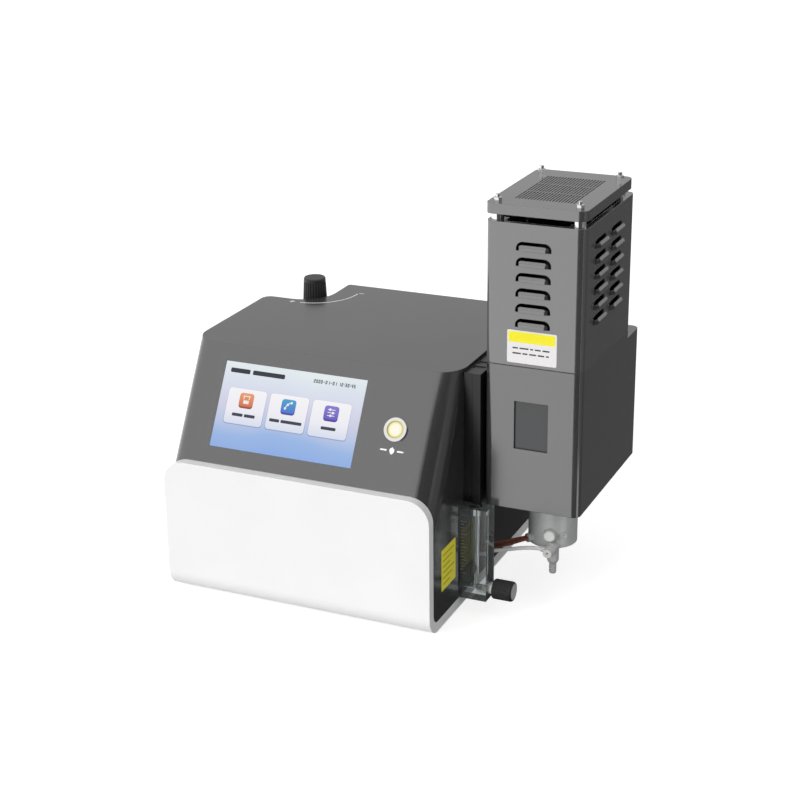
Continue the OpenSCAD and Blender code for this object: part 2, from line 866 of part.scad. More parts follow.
module burner_back() {
    t = tower_sheet;
    back_y = tower_y + chimney_d;
    back_d = burner_d - chimney_d;
    h = body_top - tower_z;
    color("gray") machine() difference() {
        intersection() {
            translate([tower_x, tower_y, tower_z]) rounded_block([tower_w, burner_d, h], tower_r);
            translate([tower_x, back_y, tower_z]) cube([tower_w, back_d, h]);
        }
        translate([tower_x + t, tower_y + t, tower_z - 1])
            rounded_block([tower_w - 2 * t, burner_d - 2 * t, h + 1 - t], tower_r - t);
        for (i = [0 : 4])
            translate([tower_mid - 30 + 13 * i, tower_y + burner_d - t - 1, 150]) cube([6, t + 2, 70]);
    }
}

module burner_floor() {
    t = tower_sheet;
    color("silver") machine() difference() {
        translate([tower_x + t, tower_y + t, tower_z])
            rounded_block([tower_w - 2 * t, burner_d - 2 * t, t], tower_r - t);
        rod_z([burner_x, burner_y, tower_z - 1], t + 2, 18);
        for (i = [0 : 3])
            translate([tower_mid - 26 + 15 * i, tower_y + 118, tower_z - 1]) cube([7, 40, t + 2]);
        for (i = [0 : 3])
            translate([burner_x, burner_y, 0]) rotate([0, 0, 45 + 90 * i])
                rod_z([chamber_r + 6, 0, tower_z - 1], t + 2, 4);
    }
}

module window_glass() {
    rim = 5;
    color("#101418") machine()
        translate([view_x - rim, tower_y + tower_sheet, view_z - rim])
            cube([view_w + 2 * rim, 3, view_h + 2 * rim]);
}

module inner_chimney() {
    color("silver") machine() translate([burner_x, burner_y, 0]) difference() {
        union() {
            rod_z([0, 0, seam_z - 24], 24 + chimney_h - 14, 64);
            rod_z([0, 0, seam_z], 2, 84);
        }
        rod_z([0, 0, seam_z - 25], chimney_h + 40, 61);
    }
}

plate_x = tower_x - 0.5;
plate_w = tower_w + 1;
plate_y = tower_y - 0.5;
slot_pitch = 3;
slot_w = 1.6;
slots = 20;
slot_y = 115;
slot_runs = 3;
slot_run = 32;
slot_bridge = 1.4;
slot_x = tower_mid - slot_pitch * slots / 2 + 0.7;

module top_plate() {
    color("gray") machine() difference() {
        translate([plate_x, plate_y, plate_z]) rounded_block([plate_w, plate_d, plate_t], tower_r);
        for (x = [-1, 1], y = [0, stud_dy])
            rod_z([tower_mid + x * stud_dx / 2, stud_y + y, plate_z - 1], plate_t + 2, 4);
        for (i = [0 : slots - 1], k = [0 : slot_runs - 1])
            translate([slot_x + slot_pitch * i, slot_y + slot_run * k, plate_z - 1])
                cube([slot_w, slot_run - slot_bridge, plate_t + 2]);
    }
}

module plate_standoffs() {
    color("whitesmoke") machine() for (x = [-1, 1], y = [0, stud_dy])
        translate([tower_mid + x * stud_dx / 2, stud_y + y, chimney_top]) difference() {
            cylinder(d = 12, h = plate_gap);
            translate([0, 0, -1]) cylinder(d = 4, h = plate_gap + 2);
        }
}

module plate_nuts() {
    nut_h = 4;
    nut_d = 8.2;
    stud_out = 3;
    foot = chimney_top - tower_sheet;
    top = plate_z + plate_t + nut_h + stud_out;
    color("whitesmoke") machine() for (x = [-1, 1], y = [0, stud_dy])
        translate([tower_mid + x * stud_dx / 2, stud_y + y, 0]) {
            rod_z([0, 0, foot], top - foot, 4);
            translate([0, 0, plate_z + plate_t]) cylinder(d = nut_d, h = nut_h, $fn = 6);
            translate([0, 0, foot - nut_h]) cylinder(d = nut_d, h = nut_h, $fn = 6);
        }
}

// ---- Burner and mixing chamber ----

head_z = 196;

module burner_head() {
    color("lightgray") machine() translate([burner_x, burner_y, 0]) difference() {
        union() {
            rod_z([0, 0, chamber_top + 6], head_z - chamber_top - 6 + eps, 16);
            rod_z([0, 0, head_z], 14, 34);
            translate([0, 0, head_z - 8]) cylinder(d1 = 16, d2 = 34, h = 8 + eps);
        }
        rod_z([0, 0, chamber_top], head_z - chamber_top + 2, 11);
        rod_z([0, 0, head_z + 2 - eps], 8, 26);
        for (i = [0 : 11])
            rotate([0, 0, 30 * i]) rod_z([9, 0, head_z + 5], 12, 2);
        for (i = [0 : 5])
            rotate([0, 0, 60 * i]) rod_z([4.5, 0, head_z + 5], 12, 2);
    }
}

module chamber_space() {
    rod_z([burner_x, burner_y, chamber_z], 200, chamber_d);
}

boss_turn = 228;
boss_z = 61;
boss_reach = 5;
port_turn = 282;
port_z = 70;
ring_turn = 314;

// Places a shape on the chamber's wall, z straight out from its axis
module on_chamber(turn, z, out = 0) {
    translate([burner_x, burner_y, z]) rotate([0, 90, turn]) translate([0, 0, out]) children();
}

module chamber_boss(turn, z, reach, d1, d2) {
    on_chamber(turn, z, chamber_r - 4) cylinder(d1 = d1, d2 = d2, h = reach + 4);
}

module mixing_chamber() {
    wall = 3;
    color("lightgray") machine() difference() {
        union() {
            rod_z([burner_x, burner_y, chamber_z], collar_z - chamber_z, chamber_d);
            rod_z([burner_x, burner_y, collar_z - eps], chamber_top - collar_z + eps, neck_d);
            chamber_boss(boss_turn, boss_z, boss_reach, 11, 9);
            chamber_boss(port_turn, port_z, 4, 13, 13);
            chamber_boss(ring_turn, port_z - 2, 2, 8, 8);
        }
        rod_z([burner_x, burner_y, chamber_z + 2], chamber_top, neck_d - 2 * wall);
        rod_y([drain_x, drain_y, nebuliser_z], 10, jet_bore);
        rod_z([burner_x, burner_y - 15, chamber_z - 1], 4, 4.5);
        on_chamber(port_turn, port_z, chamber_r + 1) cylinder(d = 10.6, h = 30);
        on_chamber(ring_turn, port_z - 2, chamber_r + 1) cylinder(d = 5, h = 30);
        for (side = [-1, 1])
            on_chamber(boss_turn, boss_z, chamber_r - 3) translate([0, 2.05 * side, 0])
                cylinder(d = pipe_d + 0.1, h = 30);
    }
}

module port_plug() {
    color("white") machine() on_chamber(port_turn, port_z, chamber_r + 1) cylinder(d = 10.6, h = 4);
}

module chamber_cap() {
    color("gray") machine() translate([burner_x, burner_y, 0]) difference() {
        rod_z([0, 0, chamber_top], tower_z - chamber_top, neck_d);
        rod_z([0, 0, chamber_top - 1], 7 + eps, 11);
        rod_z([0, 0, chamber_top + 6], 10, 16);
    }
}

module chamber_collar() {
    color("silver") machine() translate([burner_x, burner_y, 0]) difference() {
        union() {
            rod_z([0, 0, collar_z], tower_z - collar_z, chamber_d + 1.6);
            rod_z([0, 0, tower_z - 4], 4, chamber_d + 22);
        }
        rod_z([0, 0, collar_z - 1], 40, neck_d);
        for (i = [0 : 3])
            rotate([0, 0, 45 + 90 * i]) rod_z([chamber_r + 6, 0, tower_z - 6], 8, 4);
    }
}

module nebuliser() {
    disc_t = 3;
    side_y = elbow_y - 4;
    color("lightgray") machine() difference() {
        union() {
            rod_y([drain_x, nebuliser_y + disc_t, nebuliser_z], elbow_y - nebuliser_y - disc_t, 10);
            rod_y([drain_x, nebuliser_y, nebuliser_z], disc_t + eps, 9.4);
            rod_x([drain_x - 9, side_y, nebuliser_z], 9, 6);
        }
        rod_y([drain_x, nebuliser_y - 1, nebuliser_z], sample_bore_len + 1, 2.4);
        rod_y([drain_x, nebuliser_y, nebuliser_z], 30, jet_bore);
        rod_x([drain_x - 10, side_y, nebuliser_z], 6, 4);
    }
}

module drain_elbow() {
    bend_z = 44;
    ribs = 4;
    color("lightgray") machine() difference() {
        union() {
            rod_y([drain_x, elbow_y, nebuliser_z], 12, 12);
            rod_z([drain_x, drain_y, bend_z], nebuliser_z - bend_z, 12);
            translate([drain_x, drain_y, bend_z]) sphere(d = 12);
            rod_z([drain_x, drain_y, drain_z], bend_z - drain_z, 6.4);
            for (i = [0 : ribs - 1])
                translate([drain_x, drain_y, drain_z + 0.4 + 2.8 * i]) cylinder(d1 = 6.4, d2 = 7.8, h = 2.2);
        }
        rod_z([drain_x, drain_y, drain_z - 1], nebuliser_z - drain_z + 1, 4);
        rod_y([drain_x, elbow_y - 1, nebuliser_z], 14, jet_bore);
        chamber_space();
    }
}

// The two copper pipes, each from its fitting on the wall to the chamber's boss
boss_way = [cos(boss_turn), sin(boss_turn), 0];
boss_side = [-sin(boss_turn), cos(boss_turn), 0];

function boss_point(side, out) =
    [burner_x, burner_y, boss_z] + boss_way * (chamber_r + out) + boss_side * 2.05 * side;

fitting_out = 9;

function pipe_curve(port, side) =
    let (start = [body_w + fitting_out + 0.5, port[0], port[1]], out = boss_reach + 0.5)
    [start, start + [13, 0, 0], boss_point(side, out + 11), boss_point(side, out)];

module copper_pipes() {
    color("peru") machine() {
        for (i = [1, 2])
            curved_pipe(pipe_curve(wall_ports[i], 2 * i - 3), pipe_d, 5, boss_reach + 2);
    }
}

module air_tube() {
    start = [body_w + fitting_out + 0.5, wall_ports[0][0], wall_ports[0][1]];
    finish = [drain_x - 9.5, elbow_y - 4, nebuliser_z];
    color("whitesmoke") machine()
        curved_pipe([start, start + [20, 0, 0], finish - [22, 0, 0], finish], 3.9, 5, 3.5);
}

module wall_fittings() {
    color("goldenrod") machine() for (i = [0 : 2]) {
        p = wall_ports[i];
        bore = i == 0 ? 4 : pipe_d + 0.1;
        difference() {
            union() {
                rod_x([body_w - 12, p[0], p[1]], 12, port_d);
                hex_x([body_w, p[0], p[1]], 4, 9);
                rod_x([body_w + 4 - eps, p[0], p[1]], fitting_out - 4, 6.6);
                hex_x([body_w - sheet - 3, p[0], p[1]], 3, 9);
            }
            rod_x([body_w - 13, p[0], p[1]], 30, bore);
        }
    }
}

module igniter() {
    x = burner_x + 25;
    color("ivory") machine() {
        rod_z([x, burner_y, tower_z + tower_sheet], 10, 12);
        rod_z([x, burner_y, tower_z + tower_sheet + 10 - eps], 70, 7);
        rod_z([x, burner_y, tower_z + tower_sheet + 80 - 2 * eps], 18, 2);
        translate([x, burner_y, tower_z + tower_sheet + 97]) sphere(1);
        translate([x, burner_y, tower_z + tower_sheet + 97]) rotate([0, -75, 0]) cylinder(d = 2, h = 14);
    }
}

// ---- Inside the body ----

module ignition_module() {
    color("black") machine() {
        translate([206, 196, chassis_top]) cube([60, 42, 26]);
        rod_z([222, 217, chassis_top + 26], 12, 14);
    }
}

module optics_mount() {
    t = 2;
    x = 192;
    w = 74;
    color("silver") machine() {
        translate([x, optics_y - 32, chassis_top]) cube([w, 64, t]);
        translate([x, optics_y - 32, chassis_top + t]) cube([t, 64, flame_z - 40 - chassis_top - t]);
        translate([x, optics_y - 32, flame_z - 40]) cube([w, 64, t]);
    }
}

lens_x = 250;

module lens() {
    color("lightcyan") machine() intersection() {
        rod_x([lens_x, optics_y, flame_z], 6, 20);
        translate([lens_x - 24, optics_y, flame_z]) sphere(30);
    }
}

module detector_housing() {
    x = 198;
    base = flame_z - 38;
    color("#303030") machine() difference() {
        union() {
            translate([x, optics_y - 28, base]) cube([50, 56, 66]);
            rod_x([x + 50 - eps, optics_y, flame_z], 14, 30);
            translate([x + 50 - eps, optics_y - 10, base]) cube([14, 20, 26]);
        }
        rod_x([x + 8, optics_y, flame_z], 70, 20);
    }
}

module detector_board() {
    color("seagreen") machine() {
        translate([195.6, optics_y - 27, flame_z - 36]) cube([2.4, 54, 58]);
        for (y = [-14, 2])
            translate([190.6, optics_y + y, flame_z - 10]) cube([5, 12, 16]);
    }
}

module main_board() {
    x = 60;
    y = 70;
    w = 120;
    d = 90;
    h = 10;
    color("darkgreen") machine() {
        translate([x, y, chassis_top + h]) cube([w, d, 1.6]);
        for (dx = [6, w - 6], dy = [6, d - 6])
            rod_z([x + dx, y + dy, chassis_top], h, 6);
        translate([x + 40, y + 30, chassis_top + h + 1.6]) cube([22, 22, 2]);
        translate([x + 10, y + 10, chassis_top + h + 1.6]) cube([12, 40, 9]);
        translate([x + 80, y + 60, chassis_top + h + 1.6]) cube([30, 12, 12]);
        for (i = [0 : 3])
            rod_z([x + 84 + 8 * i, y + 20, chassis_top + h + 1.6], 11, 6.4);
    }
}

module power_supply() {
    color("silver") machine() difference() {
        translate([112, 186, chassis_top]) cube([78, 104, 38]);
        for (i = [0 : 6])
            translate([122 + 9 * i, 200, chassis_top + 37]) cube([4, 60, 2]);
    }
}

module solenoid_valve() {
    x = gas_ports[0][0];
    z = gas_ports[0][1];
    color("slategray") machine() difference() {
        union() {
            translate([x - 16, 236, z - 15]) cube([32, 38, 30]);
            rod_z([x, 255, z + 15], 34, 26);
            translate([x - 16, 240, chassis_top]) cube([32, 30, 4]);
            translate([x - 4, 242, chassis_top + 4 - eps]) cube([8, 26, z - 15 - chassis_top - 4 + 2 * eps]);
        }
        rod_y([x, 235, z], 40, 5);
    }
}

module gas_regulator() {
    x = gas_ports[1][0];
    z = gas_ports[1][1];
    color("silver") machine() difference() {
        union() {
            translate([x - 15, 240, z - 14]) cube([30, 34, 28]);
            rod_z([x, 257, z + 14 - eps], 22, 32);
            rod_z([x, 257, z + 36 - 2 * eps], 14, 14);
            translate([x - 4, 245, chassis_top]) cube([8, 24, z - 14 - chassis_top + eps]);
        }
        rod_y([x, 239, z], 40, 5);
    }
}

rocker_x = inlet_x + 48;
rocker_z = inlet_z + inlet_h / 2;
rocker_w = 13;
rocker_h = 21;
rocker_turn = 9;
rocker_y = body_d - 2;

module power_inlet() {
    rim = 3;
    color("black") machine() {
        difference() {
            union() {
                translate([inlet_x - rim, body_d, inlet_z - rim])
                    cube([inlet_w + 2 * rim, 2.5, inlet_h + 2 * rim]);
                translate([inlet_x, body_d - 28, inlet_z]) cube([inlet_w, 28 + eps, inlet_h]);
            }
            translate([inlet_x + 4, body_d - 14, inlet_z + 3.5]) cube([28, 20, 20.5]);
            translate([rocker_x - rocker_w / 2 - 0.4, body_d - 14, rocker_z - rocker_h / 2 - 1.3])
                cube([rocker_w + 0.8, 20, rocker_h + 2.6]);
            rod_x([rocker_x - rocker_w / 2 - 2.4, rocker_y, rocker_z], rocker_w + 4.8, 3.1);
        }
        for (x = [11, 18, 25])
            translate([inlet_x + x - 1, body_d - 14 - eps, inlet_z + 12 + (x == 18 ? 4 : 0)])
                cube([2, 11, 4]);
    }
}

module power_rocker() {
    arm = rocker_h / 2;
    place = [rocker_x - rocker_w / 2, rocker_y, rocker_z];
    color("#202020") machine() translate(place) rotate([rocker_turn, 0, 0]) {
        rotate([90, 0, 90]) linear_extrude(rocker_w)
            polygon([[-5, -4], [4, -arm], [6.5, -arm], [4.6, 0], [6.5, arm], [4, arm], [-5, 4]]);
        rod_x([-2, 0, 0], rocker_w + 4, 3);
    }
}

module hose_inlets() {
    hex_t = 7;
    color("goldenrod") machine() for (p = gas_ports) difference() {
        union() {
            rod_y([p[0], body_d - 26, p[1]], 26 + hex_t, 12);
            hex_y([p[0], body_d, p[1]], hex_t, 18);
            rod_y([p[0], body_d + hex_t - eps, p[1]], hose_out - hex_t + eps, stub_d);
            hex_y([p[0], body_d - 6, p[1]], 4, 18);
        }
        rod_y([p[0], body_d - 27, p[1]], 60, 4.5);
    }
}

front_cover();
main_housing();
rear_panel();
chassis_plate();
rubber_feet();
rear_screws();
display_glass();
display_module();
display_bracket();
button_bezel();
button_nut();
button_lens();
button_switch();
fuel_knob();
fuel_valve_stem();
fuel_valve();
fuel_valve_nut();
flowmeter_block();
flowmeter_float();
flowmeter_plug();
flowmeter_fittings();
flow_valve_gland();
flow_valve_stem();
flow_knob();
flow_knob_cap();
side_bracket();
bracket_bolts();
optical_tube();
burner_housing();
burner_back();
burner_floor();
window_glass();
chimney_cover();
inner_chimney();
top_plate();
plate_standoffs();
plate_nuts();
burner_head();
mixing_chamber();
chamber_cap();
chamber_collar();
port_plug();
nebuliser();
drain_elbow();
copper_pipes();
air_tube();
wall_fittings();
igniter();
ignition_module();
optics_mount();
lens();
detector_housing();
detector_board();
main_board();
power_supply();
solenoid_valve();
gas_regulator();
power_inlet();
power_rocker();
hose_inlets();
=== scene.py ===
# Flame photometer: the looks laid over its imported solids.
import math

import bmesh
import bpy
from mathutils import Matrix, Vector


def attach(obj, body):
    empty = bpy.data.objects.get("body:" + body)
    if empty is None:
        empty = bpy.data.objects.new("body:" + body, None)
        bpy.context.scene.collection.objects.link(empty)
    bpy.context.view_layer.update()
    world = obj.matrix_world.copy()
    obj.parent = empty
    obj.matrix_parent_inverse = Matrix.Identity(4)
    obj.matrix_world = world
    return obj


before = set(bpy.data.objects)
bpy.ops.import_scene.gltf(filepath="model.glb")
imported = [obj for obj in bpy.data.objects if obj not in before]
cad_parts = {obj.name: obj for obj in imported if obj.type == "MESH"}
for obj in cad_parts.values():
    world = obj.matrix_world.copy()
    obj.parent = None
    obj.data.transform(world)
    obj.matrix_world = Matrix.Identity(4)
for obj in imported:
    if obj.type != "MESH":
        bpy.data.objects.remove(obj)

print("frame loaded:", len(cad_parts), "nodes")
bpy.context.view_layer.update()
sceneNow = bpy.context.scene

# The machine's own millimetres run from the front left corner of its cover
machine = {"middleX": 206.25, "middleY": 162.0, "slopeY": 71.2, "top": 254.0, "lean": 30.0}
lean = math.radians(machine["lean"])


def at(x, y, z):
    return Vector(((x - machine["middleX"]) / 1000, (y - machine["middleY"]) / 1000, z / 1000))


# ---- camera, lamps and floor ----

# Solved from points of the photograph: its place in metres, its angles in degrees
camera = {"place": (0.67019, -1.53880, 0.81953), "azimuth": 24.07, "elevation": 20.72, "roll": -0.67,
          "lens": 78.37, "sensor": 36, "reach": 50}


def placeCamera():
    az, el, roll = (math.radians(camera[k]) for k in ("azimuth", "elevation", "roll"))
    look = Vector((-math.sin(az) * math.cos(el), math.cos(az) * math.cos(el), -math.sin(el)))
    side = Vector((math.cos(az), math.sin(az), 0))
    up = side.cross(look)
    across = math.cos(roll) * side + math.sin(roll) * up
    upright = math.cos(roll) * up - math.sin(roll) * side
    view = bpy.data.cameras.new("photoCamera")
    view.lens = camera["lens"]
    view.sensor_width = camera["sensor"]
    view.clip_end = camera["reach"]
    eye = bpy.data.objects.new("photoCamera", view)
    turn = Matrix((across, upright, -look)).transposed().to_4x4()
    eye.matrix_world = Matrix.Translation(camera["place"]) @ turn
    sceneNow.collection.objects.link(eye)
    sceneNow.camera = eye


placeCamera()


def linear(hexText):
    # sRGB hex to the linear colour that the shaders take
    parts = [int(hexText[i:i + 2], 16) / 255 for i in (1, 3, 5)]
    return tuple(c / 12.92 if c <= 0.04045 else ((c + 0.055) / 1.055) ** 2.4 for c in parts) + (1.0,)


def addNode(tree, kind, inputs=None, **settings):
    # One node with its settings, its values and the links into it
    node = tree.nodes.new(kind)
    for key, value in settings.items():
        setattr(node, key, value)
    for key, value in (inputs or {}).items():
        if isinstance(value, bpy.types.NodeSocket):
            tree.links.new(value, node.inputs[key])
        else:
            node.inputs[key].default_value = value
    return node


# Each lamp is a sun with its aim, its power and its spread in degrees
studio = {
    "key": {"aim": (0.42, 0.84, -0.34), "power": 2.45, "spread": 35},
    "fill": {"aim": (-0.9, 0.3, -0.3), "power": 0.7, "spread": 60},
    "top": {"aim": (0.25, -0.1, -0.96), "power": 0.45, "spread": 70},
    "ambient": 0.38, "white": 1.0, "backWall": 0.62,
    "floorColour": "#adadad", "floorLift": 0.8, "floorReach": 40.0, "floorDrop": 0.0003,
}
# Grey cards that only gloss shows, in metres: in front to the right, on the bench there, at the right,
# on the bench beside the housing, and on the bench behind the right side
feltCards = (
    (((0.13, -0.60, 0), (0.56, -0.24, 0), (0.56, -0.24, 0.6), (0.13, -0.60, 0.6)), "#464646"),
    (((0.21, -0.10, 0.001), (0.14, -0.58, 0.001), (0.55, -0.24, 0.001), (0.24, -0.06, 0.001)), "#4a4a4a"),
    (((0.57, -0.23, 0), (0.66, 0.12, 0), (0.66, 0.12, 0.6), (0.57, -0.23, 0.6)), "#7c7c7c"),
    (((0.086, -0.30, 0.0006), (0.2, -0.12, 0.0006), (0.2, 0.3, 0.0006), (0.086, 0.3, 0.0006)), "#3a3a3a"),
    (((0.2, -0.06, 0.0003), (3.0, -0.06, 0.0003), (3.0, 4.0, 0.0003), (0.2, 4.0, 0.0003)), "#646464"),
)


def seenRay(tree):
    # 1 for the camera's rays, and for what metal and glass show
    path = addNode(tree, "ShaderNodeLightPath").outputs
    shown = addNode(tree, "ShaderNodeMath", {0: path["Is Camera Ray"], 1: path["Is Glossy Ray"]},
                    operation="MAXIMUM").outputs[0]
    return addNode(tree, "ShaderNodeMath", {0: shown, 1: path["Is Transmission Ray"]},
                   operation="MAXIMUM").outputs[0]


def lightStudio():
    for name in ("key", "fill", "top"):
        lamp = bpy.data.lights.new(name + "Lamp", "SUN")
        lamp.energy = studio[name]["power"]
        lamp.angle = math.radians(studio[name]["spread"])
        holder = bpy.data.objects.new(name + "Lamp", lamp)
        holder.rotation_euler = Vector(studio[name]["aim"]).to_track_quat("-Z", "Y").to_euler()
        holder.visible_glossy = False
        sceneNow.collection.objects.link(holder)
    world = bpy.data.worlds.new("paleStudio")
    world.use_nodes = True
    tree = world.node_tree
    tree.nodes.clear()
    strength = addNode(tree, "ShaderNodeMapRange", {
        "Value": seenRay(tree), "To Min": studio["ambient"], "To Max": studio["white"]})
    # the wall behind the instrument is greyer, which only gloss shows
    outward = addNode(tree, "ShaderNodeTexCoord").outputs["Generated"]
    toward = addNode(tree, "ShaderNodeSeparateXYZ", {0: outward})
    wall = addNode(tree, "ShaderNodeMapRange", {
        "Value": toward.outputs["Y"], "From Min": 0.1, "From Max": 0.7,
        "To Min": 1.0, "To Max": studio["backWall"]})
    glossy = addNode(tree, "ShaderNodeLightPath").outputs["Is Glossy Ray"]
    shade = addNode(tree, "ShaderNodeMapRange", {"Value": glossy, "To Min": 1.0, "To Max": wall.outputs[0]})
    level = addNode(tree, "ShaderNodeMath", {0: strength.outputs[0], 1: shade.outputs[0]},
                    operation="MULTIPLY")
    sky = addNode(tree, "ShaderNodeBackground", {"Color": (1, 1, 1, 1), "Strength": level.outputs[0]})
    addNode(tree, "ShaderNodeOutputWorld", {"Surface": sky.outputs[0]})
    sceneNow.world = world


def layFloor():
    mesh = bpy.data.meshes.new("studioFloor")
    far = studio["floorReach"]
    mesh.from_pydata([(-far, -far, 0), (far, -far, 0), (far, far, 0), (-far, far, 0)], [], [(0, 1, 2, 3)])
    floor = bpy.data.objects.new("studioFloor", mesh)
    floor.location.z = -studio["floorDrop"]
    sceneNow.collection.objects.link(floor)
    paint = bpy.data.materials.new("mattWhiteFloor")
    paint.use_nodes = True
    tree = paint.node_tree
    tree.nodes.clear()
    matt = addNode(tree, "ShaderNodeBsdfDiffuse", {"Color": linear(studio["floorColour"])})
    lift = addNode(tree, "ShaderNodeEmission", {"Strength": studio["floorLift"]})
    lifted = addNode(tree, "ShaderNodeAddShader", {0: matt.outputs[0], 1: lift.outputs[0]})
    mixed = addNode(tree, "ShaderNodeMixShader", {
        0: seenRay(tree), 1: matt.outputs[0], 2: lifted.outputs[0]})
    addNode(tree, "ShaderNodeOutputMaterial", {"Surface": mixed.outputs[0]})
    mesh.materials.append(paint)


def standCards():
    for n, (corners, tone) in enumerate(feltCards):
        felt = bpy.data.materials.new("feltCard%d" % n)
        felt.use_nodes = True
        tree = felt.node_tree
        tree.nodes.clear()
        glow = addNode(tree, "ShaderNodeEmission", {"Color": linear(tone)})
        addNode(tree, "ShaderNodeOutputMaterial", {"Surface": glow.outputs[0]})
        mesh = bpy.data.meshes.new("studioCard%d" % n)
        mesh.from_pydata(corners, [], [(0, 1, 2, 3)])
        mesh.materials.append(felt)
        card = bpy.data.objects.new("studioCard%d" % n, mesh)
        for ray in ("camera", "diffuse", "shadow", "transmission", "volume_scatter"):
            setattr(card, "visible_" + ray, False)
        sceneNow.collection.objects.link(card)


lightStudio()
layFloor()
standCards()
sceneNow.view_settings.view_transform = "Standard"
print("camera, lamps and floor placed")

# ---- finishes ----

grainDepth = 0.0001  # how far a full bump rises, in metres


def newFinish(name):
    paint = bpy.data.materials.new(name)
    paint.use_nodes = True
    tree = paint.node_tree
    tree.nodes.clear()
    shader = addNode(tree, "ShaderNodeBsdfPrincipled")
    addNode(tree, "ShaderNodeOutputMaterial", {"Surface": shader.outputs[0]})
    where = addNode(tree, "ShaderNodeTexCoord").outputs["Object"]
    return paint, tree, shader, where


def setShader(shader, **values):
    names = {"metallic": "Metallic", "roughness": "Roughness", "ior": "IOR", "specular": "Specular IOR Level",
             "transmission": "Transmission Weight", "emission": "Emission Strength"}
    for key, value in values.items():
        shader.inputs[names[key]].default_value = value


def mottled(tree, where, colour, spread, size):
    # The colour with a soft variation of patches of that size in millimetres
    patches = addNode(tree, "ShaderNodeTexNoise", {"Vector": where, "Scale": 1000 / size, "Detail": 3.0})
    return varied(tree, patches.outputs["Fac"], colour, spread)


def varied(tree, pattern, colour, spread):
    # The colour made lighter and darker by a share, after a pattern from 0 to 1
    tone = addNode(tree, "ShaderNodeMapRange", {
        "Value": pattern, "From Min": 0.3, "From Max": 0.7, "To Min": 1 - spread, "To Max": 1 + spread})
    return addNode(tree, "ShaderNodeVectorMath", {0: linear(colour)[:3], "Scale": tone.outputs[0]},
                   operation="SCALE").outputs[0]


def embossed(tree, pattern, strength, depth=grainDepth):
    return addNode(tree, "ShaderNodeBump", {"Height": pattern, "Strength": strength, "Distance": depth})


def softEdges(tree, radius, bump=None):
    # Rounds the solids' sharp edges to the eye, and carries the surface's grain
    edge = addNode(tree, "ShaderNodeBevel", {"Radius": radius / 1000}, samples=4)
    if bump is None:
        return edge.outputs[0]
    tree.links.new(edge.outputs[0], bump.inputs["Normal"])
    return bump.outputs[0]


def metallicCoat(name, colour, roughness=0.18, metallic=0.85, grain=0.9):
    # Metal with a satin skin, such as sheet steel sprayed with a metallic lacquer: it takes its tone from
    # what stands around it, under a faint peel. Less metallic, it is bead blasted or drawn metal, whose
    # scattered gloss keeps more of its own colour.
    paint, tree, shader, where = newFinish(name)
    setShader(shader, roughness=roughness, metallic=metallic)
    tree.links.new(mottled(tree, where, colour, 0.01, 60), shader.inputs["Base Color"])
    peel = addNode(tree, "ShaderNodeTexNoise", {"Vector": where, "Scale": 1000 / grain, "Detail": 2.0})
    bump = embossed(tree, peel.outputs["Fac"], 0.02)
    tree.links.new(softEdges(tree, 0.7, bump), shader.inputs["Normal"])
    rough = addNode(tree, "ShaderNodeMapRange", {
        "Value": peel.outputs["Fac"], "To Min": roughness * 0.85, "To Max": roughness * 1.15})
    tree.links.new(rough.outputs[0], shader.inputs["Roughness"])
    return paint


def moulded(name, colour, roughness=0.3, specular=0.5, grain=0.9, edge=0.6, relief=0.05):
    # Moulded or turned plastic, rubber and the like: an even colour and a sheen as broad as the mould's
    # grain is rough. The smooth one is the viewing pane, too dark for anything to show behind it.
    paint, tree, shader, where = newFinish(name)
    setShader(shader, roughness=roughness, specular=specular, ior=1.53)
    tree.links.new(mottled(tree, where, colour, 0.015, 60), shader.inputs["Base Color"])
    texture = addNode(tree, "ShaderNodeTexNoise", {"Vector": where, "Scale": 1000 / grain, "Detail": 3.0})
    bump = embossed(tree, texture.outputs["Fac"], relief)
    tree.links.new(softEdges(tree, edge, bump), shader.inputs["Normal"])
    return paint


def workedMetal(name, colour, roughness, lines=(1, 1, 1), pitch=1.0, spread=0.08, depth=0.1):
    # Metal with the marks of its making: lines stretches the marks along an axis
    paint, tree, shader, where = newFinish(name)
    setShader(shader, metallic=1.0, roughness=roughness)
    stretched = addNode(tree, "ShaderNodeMapping", {"Vector": where, "Scale": lines})
    marks = addNode(tree, "ShaderNodeTexNoise", {
        "Vector": stretched.outputs[0], "Scale": 1000 / pitch, "Detail": 4.0})
    tree.links.new(varied(tree, marks.outputs["Fac"], colour, spread), shader.inputs["Base Color"])
    rough = addNode(tree, "ShaderNodeMapRange", {
        "Value": marks.outputs["Fac"], "To Min": roughness * 0.8, "To Max": min(1, roughness * 1.25)})
    tree.links.new(rough.outputs[0], shader.inputs["Roughness"])
    bump = embossed(tree, marks.outputs["Fac"], depth)
    tree.links.new(softEdges(tree, 0.3, bump), shader.inputs["Normal"])
    return paint


def clearSolid(name, colour, ior, roughness=0.02, waves=0.0, clear=1.0):
    # Clear acrylic or glass, with slow waves from casting and polishing; below clear 1 it has a milky haze
    paint, tree, shader, where = newFinish(name)
    setShader(shader, transmission=clear, roughness=roughness, ior=ior)
    shader.inputs["Base Color"].default_value = linear(colour)
    ripples = addNode(tree, "ShaderNodeTexNoise", {"Vector": where, "Scale": 1000 / 14, "Detail": 1.0})
    bump = embossed(tree, ripples.outputs["Fac"], waves, 2 * grainDepth)
    tree.links.new(softEdges(tree, 0.35, bump), shader.inputs["Normal"])
    return paint


def printed(name, colour, roughness=0.5):
    # Screen printed ink or vinyl: flat, with the ink's own faint unevenness
    paint, tree, shader, where = newFinish(name)
    setShader(shader, roughness=roughness, specular=0.3)
    tree.links.new(mottled(tree, where, colour, 0.02, 3), shader.inputs["Base Color"])
    return paint


